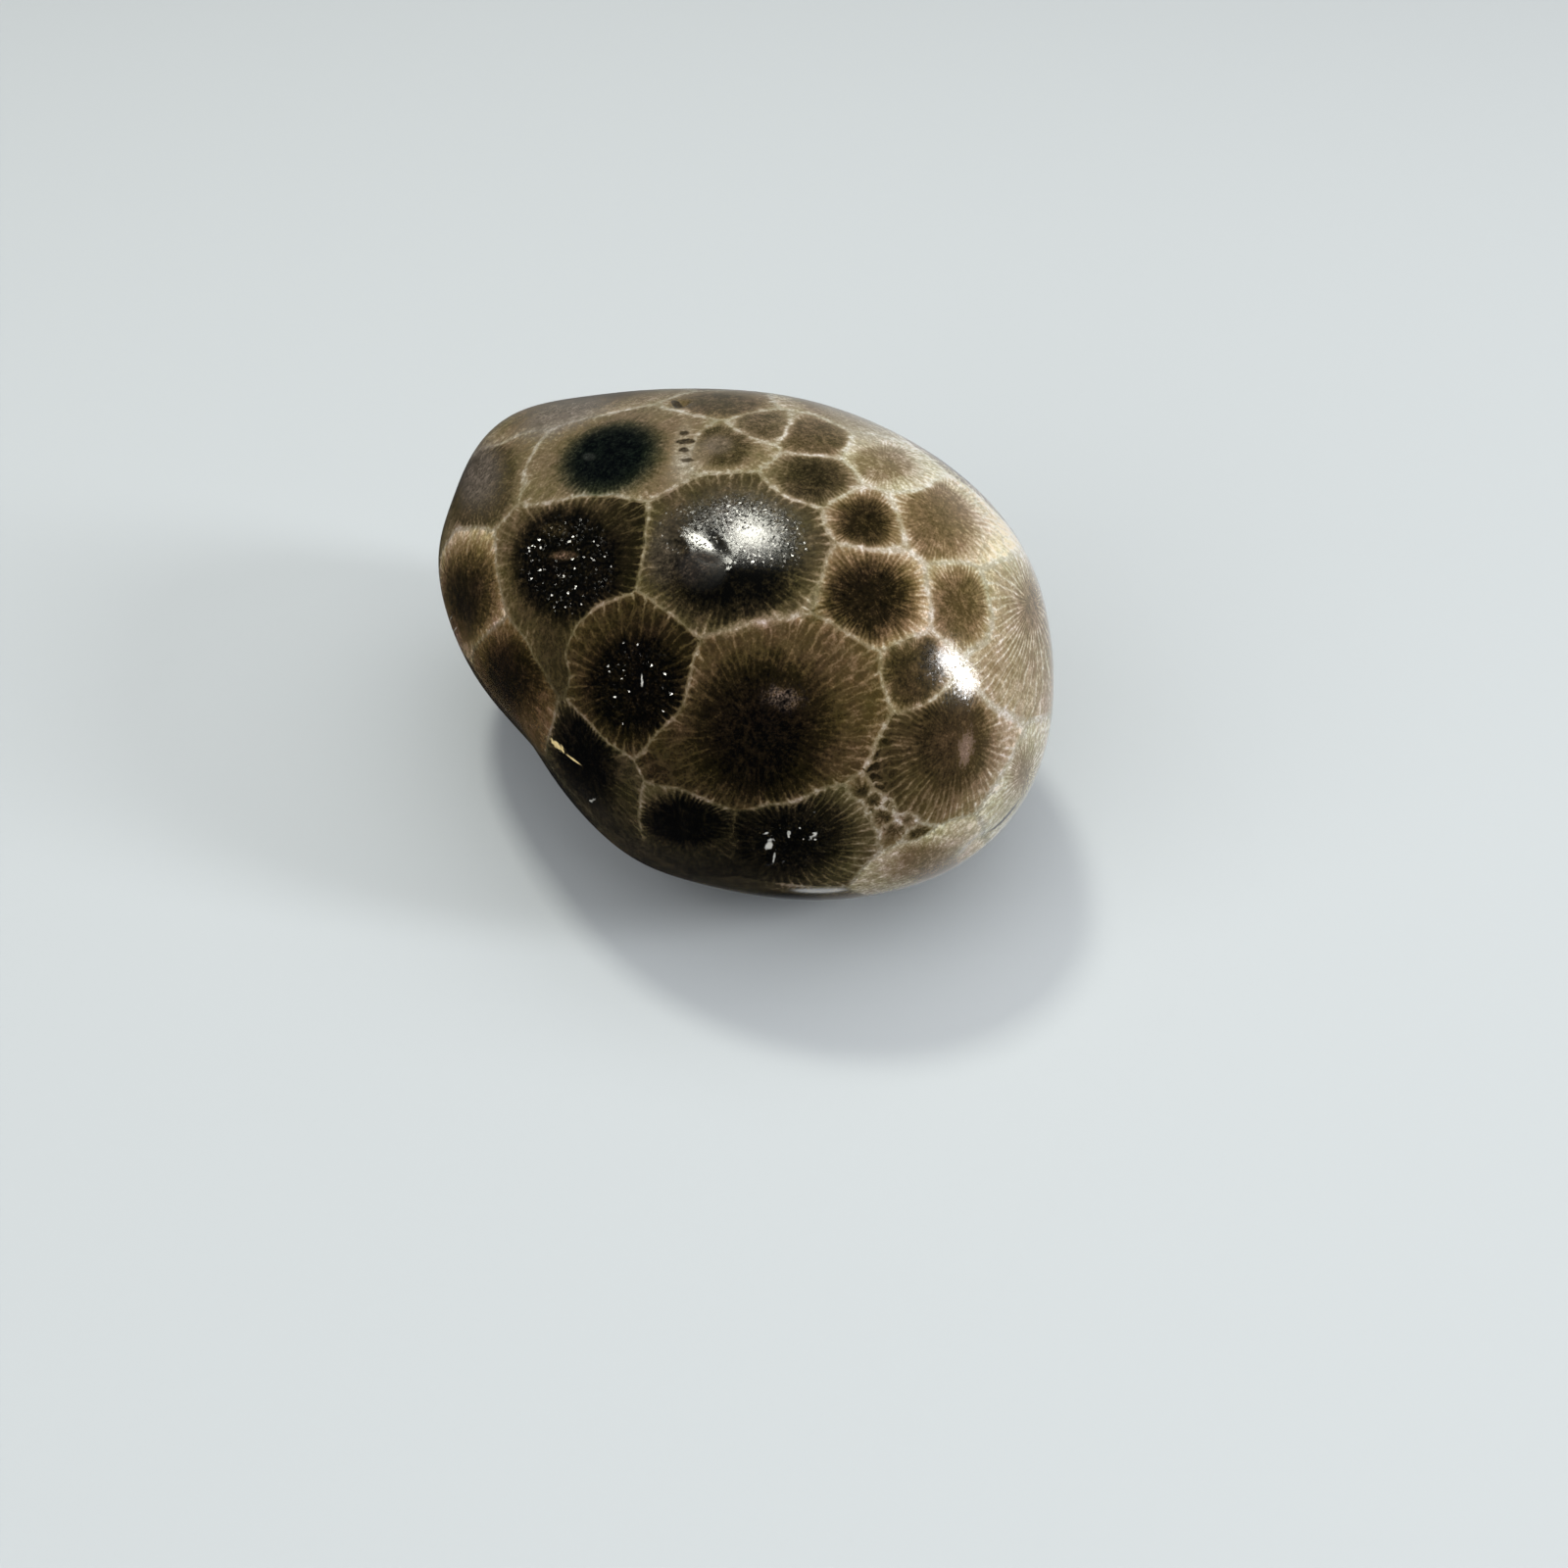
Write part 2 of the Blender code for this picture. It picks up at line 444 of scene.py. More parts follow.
skin = pushed_icosphere(SKIN_LEVEL)
points = places_of(skin)
near_knob = np.linalg.norm(points - np.array(on_stone(*KNOB_PLACE)), axis=1) < KNOB_REACH
split_where(skin, near_knob, cuts=3)
points = places_of(skin)
split_where(skin, near_relief(points) | (crystal_share(points) > 0), cuts=1)
print("the skin has", len(skin.faces), "faces")

# %% [markdown]
# ### The dome, the boss and the worn facets
# The largest corallite isn't quite smooth. A low dome sits on its knob, a facet is worn flat above the dome
# and a tiny one beside it, and the broad corallite in front has a low boss. A facet mirrors the softbox, so
# it has to face halfway between the light and the camera. All of them are given by the oval that the
# photograph shows. An oval has a depth too, so that a place on the far side of the stone is never inside
# it.

# %% Small forms
SOFTBOX_WAY = (165, 71)
SOFTBOX_AWAY = 600
OVAL_DEPTH = 1.5
# Oval in pixels with its tilt, the height in millimetres, and the share of the oval that its edge takes
SMALL_FORMS = {
    "dome": ((715, 580, 25, 23, 0), 0.08, 0.90),
    "boss": ((798, 716, 18, 15, 0), 0.06, 0.60),
}
FACETS = {"above the dome": (713, 553, 27, 13, -30), "beside the dome": (743, 580, 3.5, 3.5, 0)}
FACET_EDGE = 0.9


def oval_axes(x, y, wide, narrow, tilt):
    """The middle of an oval, and its half axes with its half depth as the columns of a matrix."""
    middle, across, along = oval_on_stone(x, y, wide, narrow, tilt)
    return middle, np.stack([across, along, unit(np.cross(across, along)) * OVAL_DEPTH], axis=1)


def inside_oval(points, oval, edge):
    """1 inside an oval, falling smoothly to 0 over its edge."""
    middle, axes = oval_axes(*oval)
    out = np.linalg.norm((points - middle) @ np.linalg.inv(axes).T, axis=1)
    rise = np.clip((1 + edge / 2 - out) / edge, 0, 1)
    return rise * rise * (3 - 2 * rise)


points = places_of(skin)
outward = points - MIDDLE
outward /= np.linalg.norm(outward, axis=1)[:, None]
for oval_px, form_height, edge in SMALL_FORMS.values():
    points += outward * form_height * inside_oval(points, oval_px, edge)[:, None]
softbox = MIDDLE + SOFTBOX_AWAY * toward(*SOFTBOX_WAY)
for oval_px in FACETS.values():
    middle = np.array(on_stone(*oval_px[:2]))
    normal = unit(unit(np.array(CAMERA_MM) - middle) + unit(softbox - middle))
    share = inside_oval(points, oval_px, FACET_EDGE)
    above = (points - middle) @ normal
    above -= np.average(above, weights=share)
    points -= normal * (above * share)[:, None]
for v, place in zip(skin.verts, points):
    v.co = place
print("small forms:", len(SMALL_FORMS), "and facets:", len(FACETS))

# %% [markdown]
# ### Crystal faces
# Three cups are filled with small crystals that the polisher ground level with the rest. Noise in a bump
# map would glitter too, but only as a pattern on a smooth skin. Here the corners inside those discs are
# shaken and the faces left flat, so each is a small crystal face that catches the light in its own
# direction.

# %% Shaken crystal faces
# How far a corner is shaken outwards and in any direction, in millimetres
CRYSTAL_LIFT = 0.040
CRYSTAL_SHIFT = 0.022
# The shaking starts at this depth inside a disc, and grows this fast
CRYSTAL_FROM = 0.02
CRYSTAL_GROWTH = 6

points = places_of(skin)
deep = crystal_share(points)
for v, share in zip(skin.verts, deep):
    if share > CRYSTAL_FROM:
        outward = (v.co - Vector(MIDDLE)).normalized()
        v.co += outward * draw.normal() * CRYSTAL_LIFT * min(1, share * CRYSTAL_GROWTH)
        v.co += Vector(draw.normal(size=3)) * CRYSTAL_SHIFT * min(1, share * CRYSTAL_GROWTH)
for face in skin.faces:
    face.smooth = not all(deep[v.index] > CRYSTAL_FROM for v in face.verts)
print("crystal faces:", sum(not face.smooth for face in skin.faces))

# %% [markdown]
# ### The flat spot
# The stone lies on a small flat spot. A knife along the table's plane adds the corners of its edge, and all
# that lies below is pressed up onto the plane. That keeps the skin closed without filling a hole. The
# spot's rim is marked sharp, or smooth shading would round it.

# %% The flat spot
# In millimetres: corners this near the plane are cut at no new corner, lie on it, or clearly stand above it
CUT_NEAR = 0.001
ON_PLANE = 1e-6
ABOVE_PLANE = 1e-5

everything = skin.verts[:] + skin.edges[:] + skin.faces[:]
bmesh.ops.bisect_plane(skin, geom=everything, plane_co=(0, 0, 0), plane_no=(0, 0, 1), dist=CUT_NEAR)
bmesh.ops.triangulate(skin, faces=[f for f in skin.faces if len(f.verts) > 3])
for v in skin.verts:
    if v.co.z < 0:
        ray = v.co - Vector(MIDDLE)
        v.co = Vector(MIDDLE) - ray * (MIDDLE[2] / ray.z)
        v.co.z = 0
rim = [e for e in skin.edges if all(abs(v.co.z) < ON_PLANE for v in e.verts)
       and any(max(v.co.z for v in f.verts) > ABOVE_PLANE for f in e.link_faces)]
for edge in rim:
    edge.smooth = False
print("the flat spot's rim has", len(rim), "edges")

# %% [markdown]
# ### The stone as an object
# Up to here the skin was in millimetres, which keeps the numbers easy to read. Blender's unit is the metre,
# so the mesh is scaled itself, and the object stays at the origin, unscaled.

# %% The stone as an object
skin_points = places_of(skin)
bmesh.ops.scale(skin, vec=(MM, MM, MM), verts=skin.verts)
mesh = bpy.data.meshes.new("petoskey_stone_skin")
skin.to_mesh(mesh)
skin.free()
stone = bpy.data.objects.new("petoskey_stone_skin", mesh)
bpy.context.scene.collection.objects.link(stone)
print("triangles:", len(mesh.polygons), "corners:", len(mesh.vertices))

# %% [markdown]
# ## Which corallite each place belongs to
# A wall runs where a place is as far from one corallite as from the next. A value kept at the corners of
# the triangles, and blended over each, can draw that line sharply if it changes sign there. So each
# triangle carries two corallites, its own and the next, and the wall's signed distance picks between them
# at every point of the render. A little noise in the places first makes the walls wander, as they do in a
# colony that grew. Blender's vector noise is seeded too, because it would take its offsets from the clock.

# %% Walls and places, corner by corner
WALL_WAVE = 0.22
WALL_WAVE_LENGTH = 1.7

noise.seed_set(SEED)
corner_of = np.zeros(len(mesh.loops), np.int32)
mesh.loops.foreach_get("vertex_index", corner_of)
triangles = corner_of.reshape(-1, 3)
waves = np.array([noise.noise_vector(Vector(place) / WALL_WAVE_LENGTH) for place in skin_points])
waved = skin_points + WALL_WAVE * waves
away = np.stack([lobe_distance(waved, c["lobes"]) for c in corallites], axis=1)
nearest = away.argmin(axis=1)
ranked = np.partition(away, 1, axis=1)

owners = nearest[triangles]
own = owners[:, 0]
other = np.where(owners[:, 1] != own, owners[:, 1], owners[:, 2])
crossed = (own != other)[:, None]
across_wall = away[triangles, other[:, None]] - away[triangles, own[:, None]]
to_next = (ranked[:, 1] - ranked[:, 0])[triangles]
wall = np.where(crossed, across_wall, to_next)

middles = np.array([c["middle"] for c in corallites])
inverse = np.array([np.linalg.pinv(c["axes"]) for c in corallites])
disc_mm = np.array([math.sqrt(np.prod(np.linalg.norm(c["axes"], axis=0))) for c in corallites])
looks = np.array([c["look"] for c in corallites])
styles = np.array([c["style"] for c in corallites])
leans = np.array([c["lean"] for c in corallites])


def carry(name, values):
    """Keeps one vector for every corner of every triangle under this name."""
    layer = mesh.attributes.new(name, "FLOAT_VECTOR", "CORNER")
    layer.data.foreach_set("vector", np.asarray(values, np.float32).reshape(-1))


for side, cups in (("own", own), ("next", other)):
    offset = skin_points[triangles] - middles[cups][:, None]
    flat = np.einsum("fij,fcj->fci", inverse[cups], offset)
    size = np.repeat(disc_mm[cups][:, None, None], 3, axis=1)
    carry(side + "_place", np.concatenate([flat, size], axis=2))
    look = np.repeat(looks[cups][:, None], 3, axis=1)
    look[:, :, 1] += np.einsum("fj,fcj->fc", leans[cups], offset)
    carry(side + "_look", look)
    carry(side + "_style", np.repeat(styles[cups][:, None], 3, axis=1))
layer = mesh.attributes.new("wall", "FLOAT", "CORNER")
layer.data.foreach_set("value", wall.astype(np.float32).reshape(-1))
print("triangles that a wall crosses:", int(crossed.sum()))

# %% [markdown]
# ### Where the crystals and the satin polish are
# Two more values are kept at the corners. One says how deep inside a crystal-filled disc a place is. The
# other says how satin the polish is: the middle of the largest corallite was polished less well, so its
# highlight is hazy there, and round the highlight on the right shoulder there is a little of the same haze.
# Shader nodes could work both out, but a value at the corners costs the render nothing.

# %% Crystal and satin
# Oval in pixels, its edge, then the satin that it adds or, below zero, the share that it takes away
SATIN = {
    "largest corallite": ((752, 538, 84, 50, 0), 1.0, 1.0),
    "clear black below the haze": ((768, 606, 54, 30, 2), 0.8, -1.0),
    "left of the dome": ((700, 552, 40, 34, -30), 1.0, 0.7),
    "clear middle of the facet": ((716, 553, 15, 5, -26), 0.9, -0.6),
    "right shoulder": ((972, 682, 40, 48, 0), 1.2, 0.36),
}

layer = mesh.attributes.new("crystal", "FLOAT", "POINT")
layer.data.foreach_set("value", crystal_share(skin_points).astype(np.float32))
satin_share = np.zeros(len(skin_points))
for place, edge, amount in SATIN.values():
    inside = inside_oval(skin_points, place, edge)
    satin_share += amount * inside * (satin_share if amount < 0 else 1)
layer = mesh.attributes.new("satin", "FLOAT", "POINT")
layer.data.foreach_set("value", satin_share.astype(np.float32))
print("corners with a satin polish:", int((satin_share > 0).sum()))

# %% [markdown]
# ## A class for shader sums
# Shader maths is easier to read as sums than as a list of nodes. The class wraps one socket: adding or
# multiplying two of them adds the Math node, and the method called node adds any other.

# %% Sums on sockets
class Wire:
    """A socket of a node tree."""

    def __init__(self, tree, socket=None):
        self.tree = tree
        self.socket = socket

    def node(self, kind, settings, inputs, output=0):
        """A new node of this type, its settings first, then the values or wires of its sockets."""
        made = self.tree.nodes.new(kind)
        for name, value in settings.items():
            setattr(made, name, value)
        for name, value in inputs.items():
            if isinstance(value, Wire):
                self.tree.links.new(value.socket, made.inputs[name])
            else:
                made.inputs[name].default_value = value
        return Wire(self.tree, made.outputs[output])

    def math(self, operation, *others):
        """A Math node with this socket as its first value."""
        return self.node("ShaderNodeMath", {"operation": operation}, dict(enumerate((self, *others))))

    def __add__(self, other):
        return self.math("ADD", other)

    __radd__ = __add__

    def __sub__(self, other):
        return self.math("SUBTRACT", other)

    def __rsub__(self, other):
        return self.node("ShaderNodeMath", {"operation": "SUBTRACT"}, {0: other, 1: self})

    def __mul__(self, other):
        return self.math("MULTIPLY", other)

    __rmul__ = __mul__

    def __truediv__(self, other):
        return self.math("DIVIDE", other)

    def __rtruediv__(self, other):
        return self.node("ShaderNodeMath", {"operation": "DIVIDE"}, {0: other, 1: self})

    def __pow__(self, other):
        return self.math("POWER", other)

    def __abs__(self):
        return self.math("ABSOLUTE")

    def step(self, low, high, top=1.0):
        """Rises smoothly from 0 at low to the top at high, or falls where low is the larger."""
        inputs = {"Value": self, 1: low, 2: high, 3: 0.0, 4: top}
        return self.node("ShaderNodeMapRange", {"interpolation_type": "SMOOTHSTEP"}, inputs)

    def at_least(self, other):
        return self.math("MAXIMUM", other)

    def at_most(self, other):
        return self.math("MINIMUM", other)


# %% [markdown]
# ## Polished fossil limestone
# The stone is limestone that took the coral's place, and the polish makes its browns look wet. A picture
# would carry the colours too, but it would blur close by and end at the sides that it doesn't show. So the
# colour is built as one number, a tone from black to cream, and a ramp turns it into stone colours at the
# end. First come the values that the corners carry, picked from the corallite on this side of the wall.

# %% The material and its corallite values
material = bpy.data.materials.new("polished_fossil_limestone")
material.use_nodes = True
tree = material.node_tree
tree.nodes.clear()
start = Wire(tree)
place_mm = start.node(
    "ShaderNodeVectorMath", {"operation": "SCALE"},
    {0: start.node("ShaderNodeTexCoord", {}, {}, "Object"), "Scale": 1 / MM},
)


def carried(name, output="Vector"):
    """A value that the corners carry."""
    return start.node("ShaderNodeAttribute", {"attribute_name": name}, {}, output)


def parts(vector):
    """The three numbers of a vector."""
    return [vector.node("ShaderNodeSeparateXYZ", {}, {0: vector}, axis) for axis in range(3)]


def vector(x, y, z):
    """A vector from three numbers."""
    return start.node("ShaderNodeCombineXYZ", {}, {0: x, 1: y, 2: z})


def grain(at, per_mm, detail=2.0, rough=0.5):
    """Noise around 0, from about -0.5 to 0.5, with this many swings in a millimetre."""
    inputs = {"Vector": at, "Scale": per_mm, "Detail": detail, "Roughness": rough}
    return start.node("ShaderNodeTexNoise", {}, inputs) - 0.5


wall_mm = carried("wall", "Fac")
is_own = wall_mm.math("GREATER_THAN", 0.0)


def of_side(what):
    """The value of the corallite on this side of the wall."""
    inputs = {0: is_own, 4: carried("next_" + what), 5: carried("own_" + what)}
    return parts(start.node("ShaderNodeMix", {"data_type": "VECTOR"}, inputs, 1))


across, along, disc_radius = of_side("place")
dark, tone, septa = of_side("look")
count, tint, soft = of_side("style")
count = (count * SEPTA_UNIT).math("ROUND")
to_wall = abs(wall_mm) * 0.5
out = (across * across + along * along) ** 0.5
turn = along.math("ARCTAN2", across)
from_middle = out * disc_radius
print("nodes that read what the corners carry:", len(tree.nodes))

# %% [markdown]
# ### Noise at several sizes
# Stone varies at every size at once: broad clouds, blotches, dots and specks. Streaks run out from the
# middle of a corallite, so their noise is read on a ring instead of in space, with its own place for each
# corallite. The stone also gets paler towards its right end and its top. The shape for marks is an oval
# that the photograph shows: one Mapping node makes it a ball of radius 1, and noise may fray its edge.

# %% Noise and ovals
# The ring that streaks are read on, and how far apart two corallites read them, by their discs' radii
STREAK_RING = 6
PLACE_APART = 9


def dot(vector, axis):
    """How far a place lies along an axis."""
    return start.node("ShaderNodeVectorMath", {"operation": "DOT_PRODUCT"}, {0: vector, 1: axis}, "Value")


to_right = dot(place_mm, tuple(IMAGE_RIGHT))
to_top = dot(place_mm, tuple(IMAGE_UP))
paler = to_right.step(-6.0, 20.0) * 0.45 + to_top.step(8.0, 28.0) * 0.40
broad = grain(place_mm, 0.35, 2.0)
clouds = grain(place_mm, 1.4, 3.0, 0.6)
dots = grain(place_mm, 3.8, 2.0)
specks = grain(place_mm, 9.0, 1.0)
fraying = dots + clouds
apart = disc_radius * PLACE_APART
ring_x = turn.math("COSINE") * STREAK_RING
ring_y = turn.math("SINE") * STREAK_RING
streak = grain(vector(ring_x, ring_y, from_middle * 0.35 + apart), 2.4, 3.0)


def oval(x, y, wide, narrow, tilt=0.0, edge=0.5, ragged=0.0, share=1.0):
    """This share inside an oval that the photograph shows, falling to 0 over its edge."""
    middle, axes = oval_axes(x, y, wide, narrow, tilt)
    turned, half_axes, _ = np.linalg.svd(axes)
    turned *= np.sign(np.linalg.det(turned))
    rotation = tuple(Matrix(turned.tolist()).to_euler())
    inputs = {"Vector": place_mm, "Location": tuple(middle), "Rotation": rotation, "Scale": tuple(half_axes)}
    at = start.node("ShaderNodeMapping", {"vector_type": "TEXTURE"}, inputs)
    out = start.node("ShaderNodeVectorMath", {"operation": "LENGTH"}, {0: at}, "Value")
    if ragged:
        out = fraying.math("MULTIPLY_ADD", ragged, out)
    return out.step(1 + edge / 2, 1 - edge / 2, share)


print("the material has", len(tree.nodes), "nodes so far")

# %% [markdown]
# ### Septa and walls
# A septum is a thin sheet that runs from the wall towards the middle. It is thickest where it grows out of
# the wall, so the spaces between septa end there in small round arches. Here the distance to the nearest
# septum, less its width, and the distance to the wall, less the wall's width, are joined by a smooth
# minimum, which rounds the corners between them in the same way. Between pale corallites the septa branch
# into a net, which a flat Voronoi pattern draws. In two quiet places near the lower edge the walls hardly
# show.

# %% Septa and walls
# Half widths in millimetres: a septum, its thick end and the wall, the least of it, and what an arch rounds
SEPTUM_HALF = 0.03
TOOTH_HALF = 0.09
WALL_HALF = 0.085
WALL_LEAST = 0.03
ARCH = 0.14
# Round a corallite, in this many radians, the net has as many cells as there are septa
NET_TURN = 6.3

near_wall = (to_wall * (broad * 1.6 - 2.4)).math("EXPONENT")
spongy = oval(782, 628, 62, 13, 27, edge=0.8).at_least(oval(701, 474, 34, 15, 38, edge=0.9))
bend = grain(place_mm, 0.6, 3.0) * 4.2 + dots * 1.3
wave = (turn * count * 0.5 + bend).math("SINE").math("ARCSINE")
septum_mm = abs(wave) * from_middle.at_least(0.5) * 2 / count
tooth = (to_wall * -4.5).math("EXPONENT") * TOOTH_HALF * (1.0 + streak * 3.0)
septum_edge = septum_mm - tooth - SEPTUM_HALF - paler * 0.04 + dots * 0.08

bent_turn = turn + grain(place_mm, 0.9, 2.0) * 0.2
per_radian = count / NET_TURN
net_place = vector(bent_turn * per_radian, from_middle * 0.5 + apart, 0.0)
flat_cells = {"feature": "DISTANCE_TO_EDGE", "voronoi_dimensions": "2D"}
cells = start.node("ShaderNodeTexVoronoi", flat_cells, {"Vector": net_place, "Scale": 1.0})
net_edge = cells * from_middle / per_radian - 0.02 + dots * 0.05
net = net_edge.step(0.09, 0.0) * (paler.step(0.42, 0.70) * 0.60 + 0.22)

wall_half = (WALL_HALF + paler * 0.26 + broad * 0.30 + spongy * 0.42).at_least(WALL_LEAST)
wall_edge = to_wall - wall_half + clouds * 0.38 + dots * 0.34
joined = septum_edge.math("SMOOTH_MIN", wall_edge, ARCH)
satin = carried("satin", "Fac")
fading = (out + streak * 0.5).step(0.85, 1.7) * (1.0 - satin * 0.9)
reach = septa * fading * (0.55 + streak * 1.6 + clouds) * (0.55 + paler * 1.4)
at_wall = (to_wall * -3.4).math("EXPONENT") * (0.95 + clouds * 1.6)
quiet = oval(757, 864, 17, 40, 0, edge=0.8).at_least(oval(700, 884, 110, 16, -14, edge=0.6))
strength = (at_wall + reach.at_least(0.0)).at_most(1.0) * (1.0 - quiet * 0.9) * (0.92 + clouds * 0.8)
light = joined.step(0.12, -0.05) * strength
light = light.at_least(net * fading)
print("the material has", len(tree.nodes), "nodes with its septa and walls")

# %% [markdown]
# ### Tone
# The ring of each corallite has its own tone, the disc pulls it down towards black, and septa and walls
# lift it towards cream. Beside a wall the ring is cloudy with the wall's own lime, and the faintest septa
# only show as fine lines in the ring.

# %% Tone
mottle = clouds * 0.60 + dots * 0.65 + specks * 0.40 + streak * (septa * 0.35 + 0.10)
mottle = mottle.at_least(mottle * 0.55) * (1.0 - paler * 0.4) - 0.03
fine_reach = (out + streak * 0.5).step(0.35, 1.1) * septa * (1.0 + streak * 3.0) * (1.0 - satin)
fine = septum_mm.step(0.13, 0.0) * fine_reach
beyond = ((out - 1.0) * disc_radius).at_least(0.0)
ring = beyond / (beyond + to_wall + 0.05)
pits = near_wall * (1.0 - light) * 0.10
ring_tone = tone * (0.70 + ring * 0.42) + (paler - 0.2) * 0.22 + near_wall * 0.05 - pits
inside = (out + streak * septa * 0.5 + mottle * 0.3).step(1.0 + soft, 1.0 - soft)
plain_tone = ring_tone * (1.0 - inside * dark)
glow = (to_wall * -4.5).math("EXPONENT") * (0.06 + clouds * 0.5 + dots * 0.3)
body_tone = plain_tone + fine * (0.05 + plain_tone * 0.20)
body_tone = body_tone + mottle * (0.22 + plain_tone * 1.15 + inside * 0.35)
body_tone = body_tone + glow.at_least(0.0)
light_tone = 0.55 + paler * 0.58 + broad * 0.30 + mottle * 0.9
full_tone = body_tone * (1.0 - light) + light_tone * light
print("the material has", len(tree.nodes), "nodes with its tone")

# %% [markdown]
# ### Marks of single corallites
# Some things belong to one corallite alone: a pink heart, a row of pits, a crack. Each is an oval laid over
# the tone, and it sets three numbers at once: the tone, how mottled it is, and how pink. Those three travel
# as one vector, because a chain of single numbers, one for each mark and each number, would be three times
# as long. The mix keeps each mark's own three as a plain constant, which also spares the renderer memory.
# Some marks paint light: painted shade on the two lower rims and at the lower right of the dome, and on the
# top rims and left of the knob a paler grey that is partly the stone's own and partly painted reflection and
# sheen.

# %% Marks
# Name, then x, y, half width, half height and tilt in pixels, then the tone and how much of it covers what
# is below, how wide the edge is and how ragged, how mottled the mark is, how pink, and how much it greys
# the colour
MARKS = (
    ("black below the haze", (752, 594, 42, 25, 2), 0.0, 0.88, 1.2, 0.6, 0.5, 0.0, 0.0),
    # Partly painted sheen: mauve-grey mottle of the stone, lifted where the satin highlight's sparkling haze
    # spreads
    ("mauve-grey left of the knob, partly painted sheen", (682, 562, 20, 34, -10), 0.33, 0.50, 0.9, 0.8, 1.2, 0.6, 0.5),
    ("dome", (714, 578, 24, 21, 0), 0.15, 0.85, 0.7, 0.6, 1.1, 1.2, 0.2),
    # Painted shade: the dome's lower right side, turned away from the softbox, is darkened to near black
    ("painted shade at the lower right of the dome", (728, 596, 24, 12, 30), 0.01, 0.85, 1.2, 0.3, 0.2, 0.0, 0.0),
    ("boss", (798, 712, 20, 12, -12), 0.40, 0.85, 1.0, 2.6, 2.8, 0.9, 0.4),
    ("reddish middle", (768, 742, 44, 40, 0), 0.10, 0.40, 0.9, 0.8, 0.6, 1.4, 0.0),
    ("pink heart", (985, 764, 7, 16, -8), 0.82, 0.85, 1.1, 2.5, 1.5, 0.9, 0.2),
    ("round the heart", (975, 752, 24, 36, -10), 0.36, 0.45, 0.9, 0.9, 0.9, 0.8, 0.0),
    ("speck in the oval", (601, 466, 7, 4, 0), 0.26, 0.80, 0.7, 0.8, 0.8, 0.8, 0.5),
    ("pale streak in the crystals", (575, 567, 14, 5, 0), 0.36, 0.80, 0.6, 1.2, 1.5, 1.2, 0.0),
    ("gold flecks", (565, 540, 14, 7, 0), 0.34, 0.60, 0.6, 2.0, 2.0, 0.2, 0.0),
    ("cream corner", (704, 470, 28, 14, 38), 0.70, 0.50, 0.9, 0.8, 0.9, 0.0, 0.2),
    ("toothed zone", (696, 455, 10, 27, -8), 0.72, 0.65, 0.9, 1.0, 1.2, 0.0, 0.2),
    ("grey heart", (733, 453, 15, 10, 0), 0.55, 0.60, 1.0, 0.8, 1.0, 0.4, 0.3),
    # Partly painted reflection: the top rim is paler and greyer, partly the stone's own tone and partly the
    # mirrored room
    ("pale top rim, partly painted reflection", (866, 425, 46, 9, -26), 0.76, 0.70, 0.9, 0.8, 0.9, 0.0, 0.2),
    ("dark strip below the crystals", (566, 684, 13, 36, 6), 0.22, 0.60, 0.9, 0.6, 0.5, 0.0, 0.0),
    # Painted shade: the tone is darkened on the two lower rims, where the underside turns away from the
    # lights
    ("painted shade on the lower left rim", (598, 820, 72, 16, -43), 0.12, 0.55, 0.9, 0.5, 0.5, 0.0, 0.2),
    ("painted shade on the lower rim", (705, 889, 90, 15, -14), 0.13, 0.65, 0.8, 0.4, 0.5, 0.0, 0.2),
    ("mauve middle", (486, 484, 22, 34, -15), 0.52, 0.60, 0.9, 0.8, 1.1, 0.8, 0.6),
    # Partly painted reflection: the top left rim is greyer and paler, partly the stone's own grey and partly
    # a pale haze
    ("grey top left, partly painted reflection", (575, 420, 50, 16, 18), 0.64, 0.55, 0.9, 0.9, 0.9, 0.3, 0.7),
    ("pit, first", (698, 442, 5, 2.4, 0), 0.26, 0.90, 0.7, 0.5, 0.5, 0.3, 0.0),
    ("pit, second", (700, 450.5, 10, 2.8, 3), 0.20, 0.90, 0.6, 0.5, 0.5, 0.3, 0.0),
    ("pit, third", (698, 459, 5, 2.4, 0), 0.26, 0.90, 0.7, 0.5, 0.5, 0.3, 0.0),
    ("pit, fourth", (701, 469.5, 6.5, 2.0, 3), 0.30, 0.90, 0.7, 0.5, 0.5, 0.3, 0.0),
    ("crack at the rim", (1026, 834, 20, 0.9, 49), 0.02, 0.95, 0.8, 0.3, 0.2, 0.0, 0.2),
    ("chip", (691, 413.5, 8, 3.2, -38), 0.27, 0.95, 0.4, 0.3, 0.5, 0.0, 0.3),
)

pink = (broad * 2.2 + clouds) * (1.0 - paler * 0.8)
grey = to_top.step(8.0, 26.0) * 0.05
look = vector(full_tone, 0.0, pink)
for _, place, mark_tone, share, edge, ragged, mottled, pinkness, greyness in MARKS:
    mark = oval(*place, edge=edge, ragged=ragged, share=share)
    inputs = {0: mark, 4: look, 5: (mark_tone, mottled, pinkness)}
    look = start.node("ShaderNodeMix", {"data_type": "VECTOR"}, inputs, 1)
    if greyness:
        grey = mark.math("MULTIPLY_ADD", greyness, grey)
full_tone, mottled, pink = parts(look)
full_tone = full_tone + mottle * mottled
print(len(MARKS), "marks")

# %% [markdown]
# ### Crystal flecks and painted glints
# The crystals are clear or brownish, so most show only as faint flecks in the black, apart from what their
# faces mirror. One Voronoi pattern gives every grain three numbers by chance, and a rare grain is painted
# white, partly as a pale crystal and partly as a painted glint. A few large glints have a place of their own
# in the photograph: they are painted as small white ovals.

# %% Flecks
GRAINS_PER_MM = 8.0
